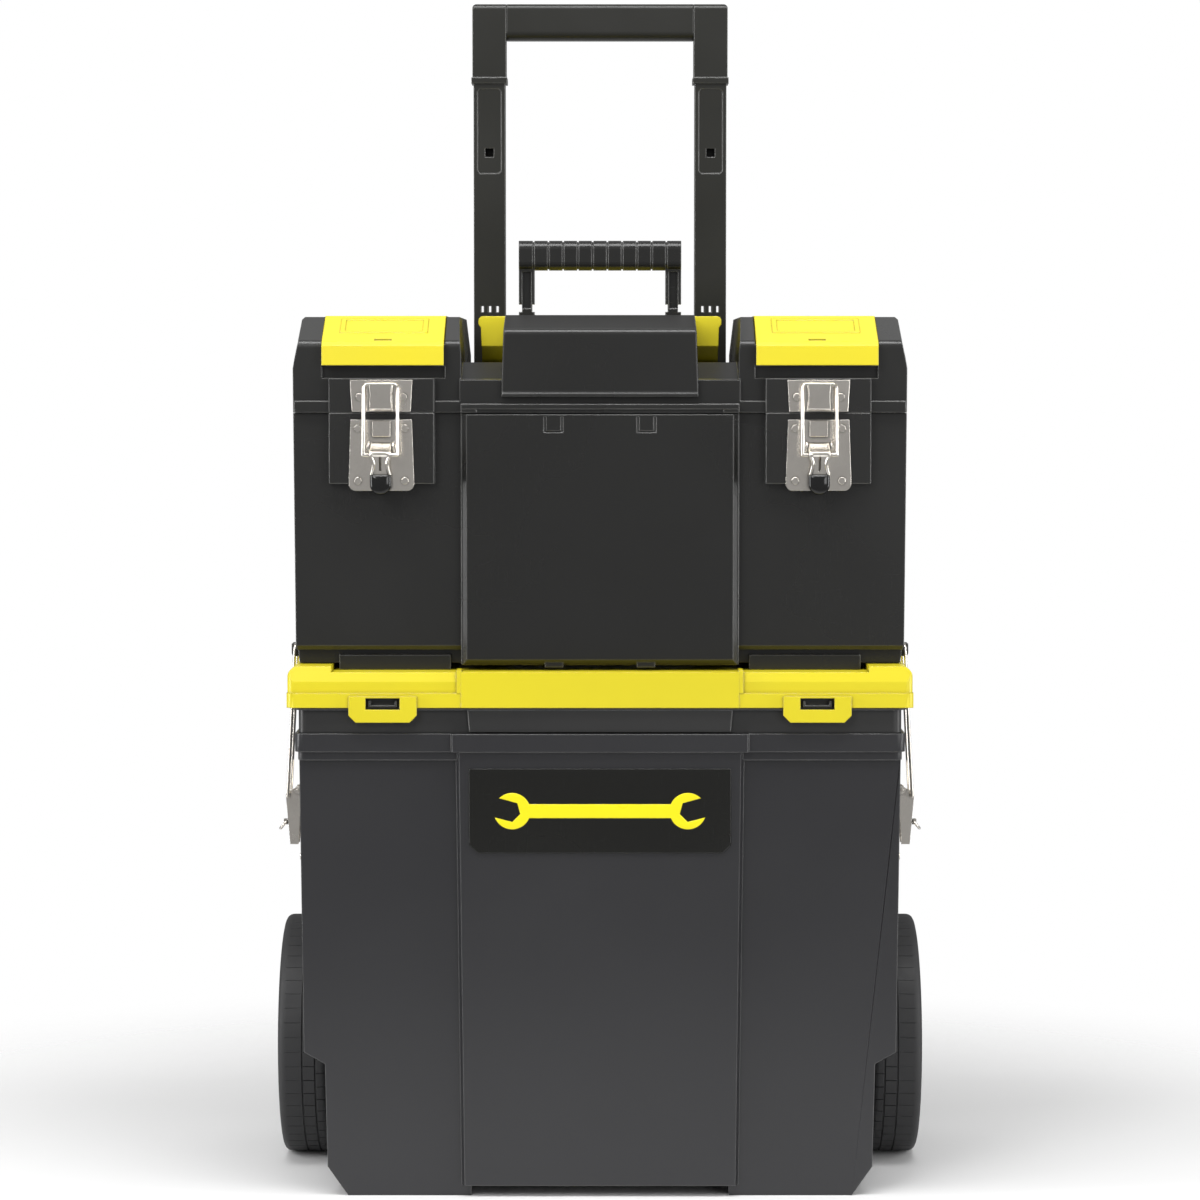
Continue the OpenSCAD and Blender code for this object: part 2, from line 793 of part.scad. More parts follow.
// The low deck between the blocks, notched behind for the tubes
module lid_deck() {
    side_prism(-block_in - 1, block_in + 1, [
        [18, 561], [18, 582], [24, 583], [crest_depth, low_z], [notch_y, low_z], [notch_y, shelf_z],
        [rear, shelf_z], [rear, lid_z], [box_front, lid_z], [box_front, 561]]);
    side_prism(-notch_in, notch_in, [
        [notch_y - 1, lid_z], [notch_y - 1, low_z], [rear - 8, low_z], [rear, low_z - 6], [rear, lid_z]]);
    // Front lip with a square tab at each end
    block([-block_in, 11, 561.5], [block_in, box_front, 565]);
    block([-88, 13, lid_z], [88, box_front, 563]);
    both() block([87, 11.5, lid_z], [block_in, box_front, 563]);
}

// Room under the lid, one wall inside its outer faces
module lid_hollow() {
    t = wall;
    in = box_half - t;
    side_prism(-in, in, [
        [box_front + t, lid_z - 1], [box_front + t, 579], [notch_y - t, 579],
        [notch_y - t, shelf_z - t], [rear - t, shelf_z - t], [rear - t, lid_z - 1]]);
    side_prism(-notch_in + t, notch_in - t, [
        [crest_depth, 570], [crest_depth, low_z - t], [rear - t - 8, low_z - t], [rear - t, low_z - 9],
        [rear - t, lid_z]]);
    both() {
        side_prism(block_in + t + 1, in - 4, [
            [organiser_hinge + 12, lid_z - 1], [organiser_hinge + 12, crest_z - t],
            [rear - 22, crest_z - t - 1], [rear - t, 598], [rear - t, lid_z - 1]]);
        side_prism(organiser_x + organiser_w / 2 + 3.5, in - 4, [
            [box_front + t, 570], [box_front + t, block_bend_z - t], [crest_depth, crest_z - t - 1],
            [organiser_hinge + 14, crest_z - t - 1], [organiser_hinge + 14, 570]]);
    }
}

// The compartment under an organiser lid, and the seat that the lid closes on
module organiser_room() {
    x0 = organiser_x - organiser_w / 2 - 0.5;
    x1 = organiser_x + organiser_w / 2 + 0.5;
    recess_back = box_front + 4.5;
    side_prism(x0, x1, [
        [0, 583.2], [recess_back, 583.2], [recess_back, 591.5], [box_front - 2, 592],
        [box_front - 2, 606],
        [crest_depth, 622.9], [organiser_hinge + 4.5, 622.9], [organiser_hinge + 4.5, 640], [0, 640]]);
    side_prism(x0 + 3, x1 - 3, [
        [recess_back + wall, 582.5], [organiser_hinge - 4, 582.5], [organiser_hinge - 4, 630],
        [crest_depth, 630], [recess_back + wall, 606]]);
}

organiser_pin = [organiser_hinge, 624.6];

module lid_shell() {
    color(black) placed() difference() {
        union() {
            lid_blocks();
            lid_deck();
            latch_pad_block(lid_z, 583);
            both() {
                block([block_in, 18, lid_z], [latch_x - pad_half, box_front + 1, 567]);
                block([latch_x + pad_half, 18, lid_z], [box_half - 1, box_front + 1, 567]);
                hinge_knuckle(knuckle_mid[0], knuckle_mid[1], 1);
            }
            cradle_seat();
        }
        lid_hollow();
        both() {
            organiser_room();
            // Groove for the rear edge of the opening organiser lid
            translate([0, organiser_pin[0], organiser_pin[1]])
                rod(organiser_x - organiser_w / 2 - 0.5, organiser_x + organiser_w / 2 + 0.5, 4.6);
            for (k = knuckle_ends) hinge_pocket(k[0], k[1]);
            translate([0, hinge_depth, seam_z + gap / 2]) rod(100, 200, pin_r + play);
            translate([0, organiser_pin[0], organiser_pin[1]])
                rod(organiser_x - organiser_w / 2 - 4, organiser_x + organiser_w / 2 + 4, 1);
        }
    }
}

module lid_hinge_pins() {
    color(steel) placed() both() translate([0, hinge_depth, seam_z + gap / 2])
        rod(knuckle_ends[0][0] - 1, knuckle_ends[1][1] + 1, pin_r);
}

// Front cover: a face, a sloping brow and a top that runs back to the handle
cover_back = 118;

module lid_front_cover() {
    t = 3;
    face = panel_front;
    top = crest_z + 1.2;
    brow_r = 4.5;
    color(black) placed() difference() {
        intersection() {
            // A bead along the foot, a round brow, and a top that rises to the rear
            side_prism(-cover_half, cover_half, concat(
                [[face - 1.2, 570], [face - 1.2, 572], [face, 573.4]],
                arc(face + brow_r, 613.9, brow_r, 180, 104, 6),
                [[48, top], [cover_back, top], [cover_back, low_z + gap],
                 [crest_depth, low_z + gap], [17.7, 584], [17.7, 570]]));
            front_prism(0, cover_back, mirrored([
                [cover_half, 560], [cover_half - 0.6, 572], [cover_half - 2, 616], [cover_half - 3, 640]]));
        }
        side_prism(-cover_half + t + 3, cover_half - t - 3, [
            [face + t, 586], [face + t, 613.5], [48, crest_z - t], [cover_back - t, crest_z - t],
            [cover_back - t, low_z - 5], [crest_depth, low_z - 5], [20, 586]]);
    }
}

// ---------- carry handle ----------

carry_pin = [138, 618.5];
carry_half = carry_w / 2;
leg_w = 11.5;
cradle_front = 121;
cradle_back = 210;
cradle_nose = 149;
cradle_half = 88.8;
cradle_low = 606.4;
cradle_top = 628.2;
grip_r = 11;

// Seat under the rear of the cradle
module cradle_seat() {
    block([-notch_in + 2, cradle_nose + gap, low_z - 3],
          [notch_in - 2, cradle_back - 2, cradle_low - gap]);
}

// Yellow cradle that the carry handle folds into
module handle_cradle() {
    slot_in = carry_half - leg_w - 2;
    slot_out = carry_half + 2;
    grip_depth = carry_pin[0] + carry_top - grip_r - carry_pin[1];
    color(yellow) placed() difference() {
        union() {
            front_prism(cradle_front, cradle_nose, mirrored(concat(
                [[cradle_half - 2.2, cradle_low], [cradle_half - 1.8, cradle_top - 8.3],
                 [cradle_half, cradle_top - 6]],
                arc(cradle_half - 3.5, cradle_top - 3.5, 3.5, 0, 90))));
            block([-notch_in + 3, cradle_nose - 1, cradle_low], [notch_in - 3, cradle_back, cradle_top]);
            // Foot under the nose, cut back below
            side_prism(-cradle_half + 2.4, cradle_half - 2.4, [
                [cradle_front, cradle_low + eps], [cradle_front, cradle_low],
                [cradle_front + 11, low_z + gap], [cradle_nose, low_z + gap],
                [cradle_nose, cradle_low + eps]]);
        }
        both() block([slot_in, carry_pin[0] - 14, cradle_low + 0.8], [slot_out, grip_depth, cradle_top + 1]);
        block([-slot_out, grip_depth - grip_r - 3, cradle_low + 0.8],
              [slot_out, grip_depth + grip_r + 3, cradle_top + 1]);
        block([-slot_in + 8, cradle_front + 8, cradle_low - 1],
              [slot_in - 8, grip_depth - grip_r - 8, cradle_top - 3]);
        both() translate([0, carry_pin[0], carry_pin[1]]) rod(slot_in - 6, slot_out + 6, pin_r);
    }
}

module carry_handle() {
    top = carry_top;
    low = carry_top - 21.6;
    y = carry_pin[0];
    half_d = 10.5;
    grooves = 10;
    pitch = carry_w / (grooves + 1);
    groove = 0.6;
    foot_r = 4.8;
    color(black) placed() difference() {
        union() {
            // Ribbed grip: full segments with a slightly smaller core showing in the grooves
            for (i = [0:grooves])
                side_prism(-carry_half + i * pitch + (i == 0 ? 0 : groove),
                           -carry_half + (i + 1) * pitch - (i == grooves ? 0 : groove),
                           grip_outline(y, low, top, half_d, 0));
            side_prism(-carry_half + 2, carry_half - 2, grip_outline(y, low, top, half_d, 0.9));
            both() block([carry_half - leg_w, y - 7, carry_pin[1]], [carry_half, y + 7, low + 5]);
            both() translate([0, y, carry_pin[1]])
                rod(carry_half - leg_w, carry_half, foot_r);
        }
        both() {
            translate([0, y, carry_pin[1]]) rod(30, 80, pin_r + play);
            // Channel down the leg, and the notches either side of its foot
            for (s = [-1, 1]) translate([0, y + s * 6, 0])
                block([carry_half - leg_w + 2.4, -2.5, 634], [carry_half - 2.4, 2.5, low - 1]);
            for (x = [carry_half - leg_w, carry_half - 1.8])
                block([x - eps, y - 8, 631.5], [x + 1.8 + (x < carry_half - 3 ? 0 : eps), y + 8, 637]);
            // The foot is narrower than the leg
            for (s = [-1, 1]) translate([0, y, carry_pin[1]])
                block([0, s > 0 ? foot_r : -9, -6], [carry_w, s > 0 ? 9 : -foot_r, 8]);
        }
    }
}

// Side outline of the grip, shrunk by less
function grip_outline(y, low, top, half, less) = let (r = 6) concat(
    arc(y + half - r, low + r, r - less, 270, 360, 5), arc(y + half - r, top - r, r - less, 0, 90, 5),
    arc(y - half + r, top - r, r - less, 90, 180, 5), arc(y - half + r, low + r, r - less, 180, 270, 5));

module carry_handle_pins() {
    color(steel) placed() both() translate([0, carry_pin[0], carry_pin[1]])
        rod(carry_half - leg_w - 7, carry_half + 7, pin_r);
}

// ---------- organiser lids ----------

// A strip along the slope between two depths, standing up by height
function border_outline(y0, y1, height) = let (slope = (crest_z + 0.7 - 609.2) / (crest_depth - 20)) [
    [y0, 608.6 + slope * (y0 - 17)], [y0, 609.2 + height + slope * (y0 - 17)],
    [y1, 609.2 + height + slope * (y1 - 17)], [y1, 608.6 + slope * (y1 - 17)]];

module organiser_lid(side) {
    half = organiser_w / 2;
    t = 2.6;
    low = 592.2;
    bend = 606;
    top = crest_z + 0.7;
    back = organiser_hinge + 3.5;
    color(yellow) placed() translate([side * organiser_x, 0, 0]) difference() {
        union() {
            side_prism(-half, half, [
                [13, low], [14, bend], [17, bend + 3.2], [crest_depth - 3, top], [back, top],
                [back, 623.2], [crest_depth, 623.2], [19, 606.5], [16.2, 604], [16.2, low]]);
            // Raised border on the slope
            difference() {
                side_prism(-half + 12, half - 12, border_outline(29.5, 52, 0.6));
                side_prism(-half + 15.5, half - 15.5, border_outline(32, 49.5, 1));
            }
        }
        block([-6, 13, 609.6], [6, 20.8, 610.8]);
        translate([0, organiser_pin[0], organiser_pin[1]]) rod(-half - 1, half + 1, 1 + play);
    }
}

module organiser_pins() {
    color(steel) placed() both() translate([0, organiser_pin[0], organiser_pin[1]])
        rod(organiser_x - organiser_w / 2 - 4, organiser_x + organiser_w / 2 + 4, 1);
}

// ---------- draw latches ----------
// Each latch is drawn about its lever's pivot: x along the pin, -y away from the wall, z up.

module at_front_latch(side) {
    placed() translate([side * latch_x, latch_depth, latch_z]) children();
}

module at_side_latch(side) {
    placed() translate([side * side_x, side_depth, side_z]) rotate([0, 0, side * 90]) children();
}

// A riveted plate with two ears for the pin
module base_plate(top, low, half_top, half_low, ear_x, size) {
    face = pad_offset * size;
    ear_r = 3.6 * size;
    corner = 5;
    difference() {
        union() {
            front_prism(face - sheet, face, mirrored(concat(
                arc(half_low - corner, low + corner, corner, 270, 360), [[half_top, top]])));
            both() {
                rod(ear_x, ear_x + sheet, ear_r);
                block([ear_x, 0, -ear_r], [ear_x + sheet, face - sheet / 2, ear_r]);
            }
            // Pressed column above the lever, with a rolled lower edge
            block([-ear_x + 1.7, 2.6 * size, 8 * size], [ear_x - 1.7, face - sheet / 2, top - 1]);
            translate([0, 3.8 * size, 8 * size]) rod(-ear_x + 1.7, ear_x - 1.7, 1.2 * size);
        }
        rod(-ear_x - 5, ear_x + 5, pin_radius(size));
    }
}

function pin_radius(size) = 1.5 * size;

// Lever: two cheeks joined by a slotted web
module lever(half, reach, size, wire_r) {
    foot = [0.7 * size, -reach];
    out = -bail_out * size;
    drop = -bail_drop * size;
    web = 1.3;
    difference() {
        union() {
            for (x = [-half, half - sheet]) {
                rod(x, x + sheet, 3.4 * size);
                translate([0, out, drop]) rod(x, x + sheet, lever_boss * size);
                side_prism(x, x + sheet, [
                    [1.2 * size, 3.1 * size], [out, drop + lever_boss * size],
                    [out - lever_boss * size, drop], [-8 * size, -reach], foot,
                    [3.3 * size, -0.8 * size]]);
            }
            side_prism(-half, half, [
                [out - lever_boss * size, drop], [-8 * size, -reach], [-8 * size + web, -reach],
                [out - lever_boss * size + web, drop]]);
        }
        rod(-half - 1, half + 1, pin_radius(size) + play);
        translate([0, out, drop]) rod(-half - 1, half + 1, wire_r + play);
        block([-1.6, -20, -reach + 3], [1.6, 0, drop - 2.5 * size]);
    }
}

// Wire bail drawn about its ends: legs up, bar across the top
module bail(half, length, wire_r, pin_in) {
    bend = 3.5;
    both() {
        rod(pin_in, half, wire_r);
        translate([half, 0, 0]) sphere(wire_r);
        translate([half, 0, 0]) cylinder(h = length - bend, r = wire_r);
        translate([half - bend, 0, length - bend]) rotate([90, 0, 0])
            rotate_extrude(angle = 90) translate([bend, 0]) circle(wire_r, $fn = 24);
    }
    translate([0, 0, length]) rod(-half + bend, half - bend, wire_r);
}

// Domed rivet heads on a plate's face
module rivets(places, face, r) {
    for (p = places) translate([p[0], 0, p[1]]) stud(face - 1, face, r);
}

lever_half = 7.6;
ear_x = lever_half + 0.4;
lever_reach = 19.5;
tip_reach = 33.5;
base_top = 19;
base_low = -31;

module latch_base(side) {
    color(steel) at_front_latch(side) base_plate(base_top, base_low, 21.5, 23.1, ear_x, 1);
}

module latch_rivets() {
    color(steel) for (side = [-1, 1]) at_front_latch(side)
        rivets([for (x = [-16.5, 16.5], z = [13, -24]) [x, z]], pad_offset - sheet, 2.6);
}

module latch_pins() {
    color(steel) for (side = [-1, 1]) at_front_latch(side) rod(-ear_x - 2, ear_x + 2, pin_radius(1));
}

module latch_lever(side) {
    color(steel) at_front_latch(side) lever(lever_half, lever_reach, 1, front_wire);
}

module latch_tip(side) {
    r = lever_half;
    color(black) at_front_latch(side) intersection() {
        translate([0, 0, -tip_reach + r]) {
            stud(-8.6, 0.7, r);
            block([-r, -8.6, 0], [r, 0.7, r]);
        }
        block([-r, -9, -tip_reach], [r, 1, -lever_reach]);
    }
}

// A bail leans in by its own amount towards its catch
module latch_bail(side) {
    color(steel) at_front_latch(side) translate([0, -bail_out, -bail_drop])
        rotate([-asin(front_bail_in / front_bail_len), 0, 0])
            bail(front_bail_half, front_bail_len, front_wire, lever_half - sheet);
}

bar_depth = latch_depth - bail_out + front_bail_in;
bar_z = latch_z - bail_drop + sqrt(front_bail_len * front_bail_len - front_bail_in * front_bail_in);

module catch_plate(side) {
    half_top = 22;
    half_low = 20.7;
    tongue_half = 8.3;
    lip_h = 2.2;
    face = latch_pad - sheet;
    top = bar_z - front_wire - gap;
    lip = bar_depth - front_wire - gap;
    color(steel) placed() translate([side * latch_x, 0, 0]) {
        front_prism(face, latch_pad, mirrored([[half_low, lid_z + 0.6], [half_top, 582]]));
        // Tongue that the bail's bar drops behind
        intersection() {
            side_prism(-tongue_half, tongue_half, [
                [face + 0.6, lid_z + 1.5], [lip, lid_z + 1.5], [lip - sheet, lid_z + 3],
                [lip - sheet, top + lip_h], [lip, top + lip_h], [lip, top], [face + 0.6, top]]);
            front_prism(0, face + 1, mirrored([
                [tongue_half, lid_z], [tongue_half - 0.8, 566], [tongue_half - 0.8, 573],
                [tongue_half, top + lip_h + 1]]));
        }
    }
}

module catch_rivets() {
    color(steel) placed() both() translate([latch_x, 0, 0])
        rivets([for (x = [-15.5, 15.5]) [x, 570]], latch_pad - sheet, 2.6);
}

side_lever_half = 7;
side_ear_x = side_lever_half + 0.4;
side_reach = 40;

module side_base(side) {
    color(steel) at_side_latch(side) base_plate(19, -58, 17, 15, side_ear_x, side_scale);
}

module side_rivets() {
    color(steel) for (side = [-1, 1]) at_side_latch(side)
        rivets([for (x = [-12.5, 12.5], z = [13, -48]) [x, z]], pad_offset * side_scale - sheet, 2.4);
}

module side_pins() {
    color(steel) for (side = [-1, 1]) at_side_latch(side)
        rod(-side_ear_x - 1.8, side_ear_x + 1.8, pin_radius(side_scale));
}

// The side lever also carries a lug for the padlock ring
module side_lever(side) {
    ring_bore = 1;
    color(steel) at_side_latch(side) {
        lever(side_lever_half, side_reach, side_scale, side_wire);
        difference() {
            block([-2.4, -ring_out - 1.8, -ring_drop - 2], [2.4, -6.2, -ring_drop + 2]);
            translate([0, -ring_out, -ring_drop]) rod(-4, 4, ring_bore + play);
        }
    }
}

module side_bail(side) {
    color(steel) at_side_latch(side) translate([0, -bail_out * side_scale, -bail_drop * side_scale])
        rotate([-asin(side_bail_in / side_bail_len), 0, 0])
            bail(side_bail_half, side_bail_len, side_wire, side_lever_half - sheet);
}

module side_ring(side) {
    half = 5;
    arm = 1.5;
    tilt = 40;
    r = 1;
    color(steel) at_side_latch(side) translate([0, -ring_out, -ring_drop]) rotate([-tilt, 0, 0]) {
        rod(-half, half, r);
        both() {
            translate([half, 0, 0]) sphere(r);
            translate([half, 0, -arm]) cylinder(h = arm, r = r);
        }
        translate([0, 0, -arm]) rotate([90, 0, 0]) rotate([0, 0, 180])
            rotate_extrude(angle = 180) translate([half, 0]) circle(r, $fn = 24);
    }
}

// ---------- nodes ----------

bin_shell();
bin_label();
label_emblem();
axle();
axle_spacers();
wheel_hub(-1);  // wheel_hub_left
wheel_hub(1);  // wheel_hub_right
tyre(-1);  // tyre_left
tyre(1);  // tyre_right
hub_cap(-1);  // hub_cap_left
hub_cap(1);  // hub_cap_right
guide(-1);  // guide_left
guide(1);  // guide_right
guide_screws();
handle_tube(-1);  // handle_tube_left
handle_tube(1);  // handle_tube_right
tube_foot(-1);  // tube_foot_left
tube_foot(1);  // tube_foot_right
grip_corner(-1);  // grip_corner_left
grip_corner(1);  // grip_corner_right
grip_bar();
tray_body();
tray_lid();
box_shell();
box_front_panel();
tote_tray();
lid_shell();
lid_front_cover();
handle_cradle();
carry_handle();
carry_handle_pins();
lid_hinge_pins();
organiser_lid(-1);  // organiser_lid_left
organiser_lid(1);  // organiser_lid_right
organiser_pins();
catch_plate(-1);  // catch_plate_left
catch_plate(1);  // catch_plate_right
catch_rivets();
latch_base(-1);  // latch_base_left
latch_base(1);  // latch_base_right
latch_rivets();
latch_pins();
latch_lever(-1);  // latch_lever_left
latch_lever(1);  // latch_lever_right
latch_tip(-1);  // latch_tip_left
latch_tip(1);  // latch_tip_right
latch_bail(-1);  // latch_bail_left
latch_bail(1);  // latch_bail_right
side_base(-1);  // side_base_left
side_base(1);  // side_base_right
side_rivets();
side_pins();
side_lever(-1);  // side_lever_left
side_lever(1);  // side_lever_right
side_bail(-1);  // side_bail_left
side_bail(1);  // side_bail_right
side_ring(-1);  // side_ring_left
side_ring(1);  // side_ring_right
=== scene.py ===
"""Looks of the rolling tool box: camera, studio, materials, and the pieces that the CAD keeps plain."""
import json
import math

import bmesh
import bpy
from mathutils import Matrix, Vector


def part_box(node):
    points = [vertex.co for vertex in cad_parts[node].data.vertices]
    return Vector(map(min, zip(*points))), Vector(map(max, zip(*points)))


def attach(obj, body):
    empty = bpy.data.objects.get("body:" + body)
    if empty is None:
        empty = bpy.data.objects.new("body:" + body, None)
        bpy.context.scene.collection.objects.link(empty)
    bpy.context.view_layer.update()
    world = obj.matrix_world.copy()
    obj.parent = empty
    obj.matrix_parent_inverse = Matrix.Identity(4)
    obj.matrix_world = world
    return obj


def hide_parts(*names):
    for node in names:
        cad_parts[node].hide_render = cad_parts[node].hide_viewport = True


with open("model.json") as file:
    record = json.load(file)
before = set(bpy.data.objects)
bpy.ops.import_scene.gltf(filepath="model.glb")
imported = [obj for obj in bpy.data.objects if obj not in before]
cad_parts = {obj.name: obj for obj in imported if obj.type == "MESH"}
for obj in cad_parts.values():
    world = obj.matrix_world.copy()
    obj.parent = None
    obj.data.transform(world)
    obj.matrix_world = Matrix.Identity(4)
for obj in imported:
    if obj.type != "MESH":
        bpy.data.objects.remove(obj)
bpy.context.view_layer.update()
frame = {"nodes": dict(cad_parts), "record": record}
nodes = frame["nodes"]
scene = bpy.context.scene

MM = 0.001

# ---------- camera ----------

CAMERA_DISTANCE = 2.700      # from the bin's rim to the camera
CAMERA_HEIGHT = 0.589
CAMERA_PITCH = math.radians(3.42)
CAMERA_LENS = 115.5          # mm, on a 36 mm sensor
SENSOR_WIDTH = 36
rim_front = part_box("bin_shell")[0].y


def make_camera():
    data = bpy.data.cameras.new("camera")
    data.lens = CAMERA_LENS
    data.sensor_width = SENSOR_WIDTH
    camera = bpy.data.objects.new("camera", data)
    scene.collection.objects.link(camera)
    camera.location = (0, rim_front - CAMERA_DISTANCE, CAMERA_HEIGHT)
    camera.rotation_euler = (math.pi / 2 - CAMERA_PITCH, 0, 0)
    scene.camera = camera


make_camera()

# ---------- studio ----------

SURROUND = 0.34               # how bright the surround is in reflections, against 1 where the camera sees it
LIGHT_TARGET = (0, 0, 0.4)
# Each light: place, size, power in watts
LIGHTS = {
    "overhead": ((0, -0.75, 2.1), (2.0, 0.5), 36),
    "top_back": ((0, 0.9, 2.2), (2.2, 0.8), 4),
    "left_strip": ((-1.8, -0.45, 0.7), (0.35, 1.7), 22),
    "right_strip": ((1.8, -0.45, 0.7), (0.35, 1.7), 19),
    "key": ((-1.3, -2.6, 1.9), (1.0, 1.2), 33),
    "fill": ((1.5, -2.4, 0.9), (1.0, 1.4), 16),
}
FLOOR_SIZE = 6.0
FLOOR_PAINT = (0.74, 0.74, 0.74)
FLOOR_FADE = (0.42, 0.85)     # the floor dissolves into the white surround between these radii


def area_light(name, place, target, size, watts):
    data = bpy.data.lights.new(name, "AREA")
    data.shape = "RECTANGLE"
    data.size, data.size_y = size
    data.energy = watts
    light = bpy.data.objects.new(name, data)
    scene.collection.objects.link(light)
    light.location = place
    light.rotation_euler = (Vector(target) - Vector(place)).to_track_quat("-Z", "Y").to_euler()


def make_studio():
    """A white surround for the camera, a dimmer one for what the gloss picks up, the lights and the floor."""
    world = bpy.data.worlds.new("studio")
    scene.world = world
    world.use_nodes = True
    tree = world.node_tree
    seen = tree.nodes.new("ShaderNodeLightPath")
    strength = tree.nodes.new("ShaderNodeMapRange")
    strength.inputs["To Min"].default_value = SURROUND
    strength.inputs["To Max"].default_value = 1.0
    tree.links.new(seen.outputs["Is Camera Ray"], strength.inputs["Value"])
    tree.links.new(strength.outputs["Result"], tree.nodes["Background"].inputs["Strength"])
    tree.nodes["Background"].inputs["Color"].default_value = (1, 1, 1, 1)
    scene.view_settings.view_transform = "Standard"
    for name, (place, size, watts) in LIGHTS.items():
        area_light(name, place, LIGHT_TARGET, size, watts)
    make_floor()


def make_floor():
    """A pale floor that fades out round the object."""
    bpy.ops.mesh.primitive_plane_add(size=FLOOR_SIZE, location=(0, 0, 0))
    floor = bpy.context.object
    floor.name = "floor"
    paint = bpy.data.materials.new("floor")
    paint.use_nodes = True
    tree = paint.node_tree
    shader = tree.nodes["Principled BSDF"]
    shader.inputs["Base Color"].default_value = (*FLOOR_PAINT, 1)
    shader.inputs["Roughness"].default_value = 0.7
    coords = tree.nodes.new("ShaderNodeTexCoord")
    radius = tree.nodes.new("ShaderNodeVectorMath")
    radius.operation = "LENGTH"
    fade = tree.nodes.new("ShaderNodeMapRange")
    fade.interpolation_type = "SMOOTHSTEP"
    fade.inputs["From Min"].default_value, fade.inputs["From Max"].default_value = FLOOR_FADE
    clear = tree.nodes.new("ShaderNodeBsdfTransparent")
    mix = tree.nodes.new("ShaderNodeMixShader")
    tree.links.new(coords.outputs["Object"], radius.inputs[0])
    tree.links.new(radius.outputs["Value"], fade.inputs["Value"])
    tree.links.new(fade.outputs["Result"], mix.inputs["Fac"])
    tree.links.new(shader.outputs["BSDF"], mix.inputs[1])
    tree.links.new(clear.outputs["BSDF"], mix.inputs[2])
    tree.links.new(mix.outputs["Shader"], tree.nodes["Material Output"].inputs["Surface"])
    floor.data.materials.append(paint)


make_studio()

# ---------- materials ----------


class Recipe:
    """A node material that starts as a Principled shader, with short calls to add nodes."""

    def __init__(self, name, colour, roughness, metallic=0.0):
        self.material = bpy.data.materials.new(name)
        self.material.use_nodes = True
        self.tree = self.material.node_tree
        self.shader = self.tree.nodes["Principled BSDF"]
        self.shader.inputs["Base Color"].default_value = (*colour, 1)
        self.shader.inputs["Roughness"].default_value = roughness
        self.shader.inputs["Metallic"].default_value = metallic
        self.coords = self.node("ShaderNodeTexCoord").outputs["Object"]

    def node(self, kind, **settings):
        made = self.tree.nodes.new(kind)
        for key, value in settings.items():
            setattr(made, key, value)
        return made

    def link(self, out, into):
        self.tree.links.new(out, into)

    def noise(self, scale, detail=4.0, rough=0.5, stretch=(1, 1, 1)):
        place = self.node("ShaderNodeMapping")
        place.inputs["Scale"].default_value = stretch
        self.link(self.coords, place.inputs["Vector"])
        noise = self.node("ShaderNodeTexNoise")
        noise.inputs["Scale"].default_value = scale
        noise.inputs["Detail"].default_value = detail
        noise.inputs["Roughness"].default_value = rough
        self.link(place.outputs["Vector"], noise.inputs["Vector"])
        return noise.outputs["Fac"]

    def remap(self, value, low, high, to_low, to_high):
        ramp = self.node("ShaderNodeMapRange")
        for key, number in zip(("From Min", "From Max", "To Min", "To Max"), (low, high, to_low, to_high)):
            ramp.inputs[key].default_value = number
        self.link(value, ramp.inputs["Value"])
        return ramp.outputs["Result"]

    def math(self, operation, a, b):
        made = self.node("ShaderNodeMath", operation=operation)
        for value, socket in ((a, made.inputs[0]), (b, made.inputs[1])):
            if isinstance(value, (int, float)):
                socket.default_value = value
            else:
                self.link(value, socket)
        return made.outputs["Value"]

    def mul(self, a, b):
        return self.math("MULTIPLY", a, b)

    def maximum(self, a, b):
        return self.math("MAXIMUM", a, b)

    def add(self, base, extra, amount):
        return self.math("ADD", base, self.mul(extra, amount))

    def mix(self, factor, a, b):
        mix = self.node("ShaderNodeMix", data_type="RGBA")
        self.link(factor, mix.inputs["Factor"])
        for value, socket in ((a, mix.inputs[6]), (b, mix.inputs[7])):
            if isinstance(value, tuple):
                socket.default_value = (*value, 1)
            else:
                self.link(value, socket)
        return mix.outputs[2]

    def bump(self, height, strength, distance, under=None):
        bump = self.node("ShaderNodeBump")
        bump.inputs["Strength"].default_value = strength
        bump.inputs["Distance"].default_value = distance
        self.link(height, bump.inputs["Height"])
        if under is not None:
            self.link(under, bump.inputs["Normal"])
        return bump.outputs["Normal"]

    def rounded(self, radius):
        """Normals that shade every edge as if rounded to a radius."""
        bevel = self.node("ShaderNodeBevel", samples=6)
        bevel.inputs["Radius"].default_value = radius
        return bevel.outputs["Normal"]

    def edge(self, rounded):
        """0 on flat faces, rising to 1 on edges, from the normals that rounded() gives."""
        geometry = self.node("ShaderNodeNewGeometry")
        dot = self.node("ShaderNodeVectorMath", operation="DOT_PRODUCT")
        self.link(rounded, dot.inputs[0])
        self.link(geometry.outputs["Normal"], dot.inputs[1])
        return self.remap(dot.outputs["Value"], 1.0, 0.75, 0.0, 1.0)

    def open_air(self, reach):
        """1 on open faces, falling towards 0 in tight corners and under close pieces."""
        occlusion = self.node("ShaderNodeAmbientOcclusion", samples=6)
        occlusion.inputs["Distance"].default_value = reach
        return self.remap(occlusion.outputs["AO"], 0.35, 0.9, 0.0, 1.0)

    def painted_corner_shade(self, colour, reach, darkest):
        """A colour darkened in its tight corners and under close pieces: painted shade."""
        dark = self.node("ShaderNodeVectorMath", operation="SCALE")
        self.link(colour, dark.inputs[0])
        self.link(self.remap(self.open_air(reach), 0.0, 1.0, darkest, 1.0), dark.inputs["Scale"])
        return dark.outputs["Vector"]


# Depth of the grain on moulded and on printed or dipped plastic, and how round edges look, in millimetres
GRAIN_DEPTH, SMOOTH_DEPTH = 0.02, 0.004
PLASTIC_ROUND, METAL_ROUND = 1.2, 0.3
# Near-white painted on steel edges as a painted highlight
STEEL_EDGE_HIGHLIGHT = (0.97, 0.96, 0.94)


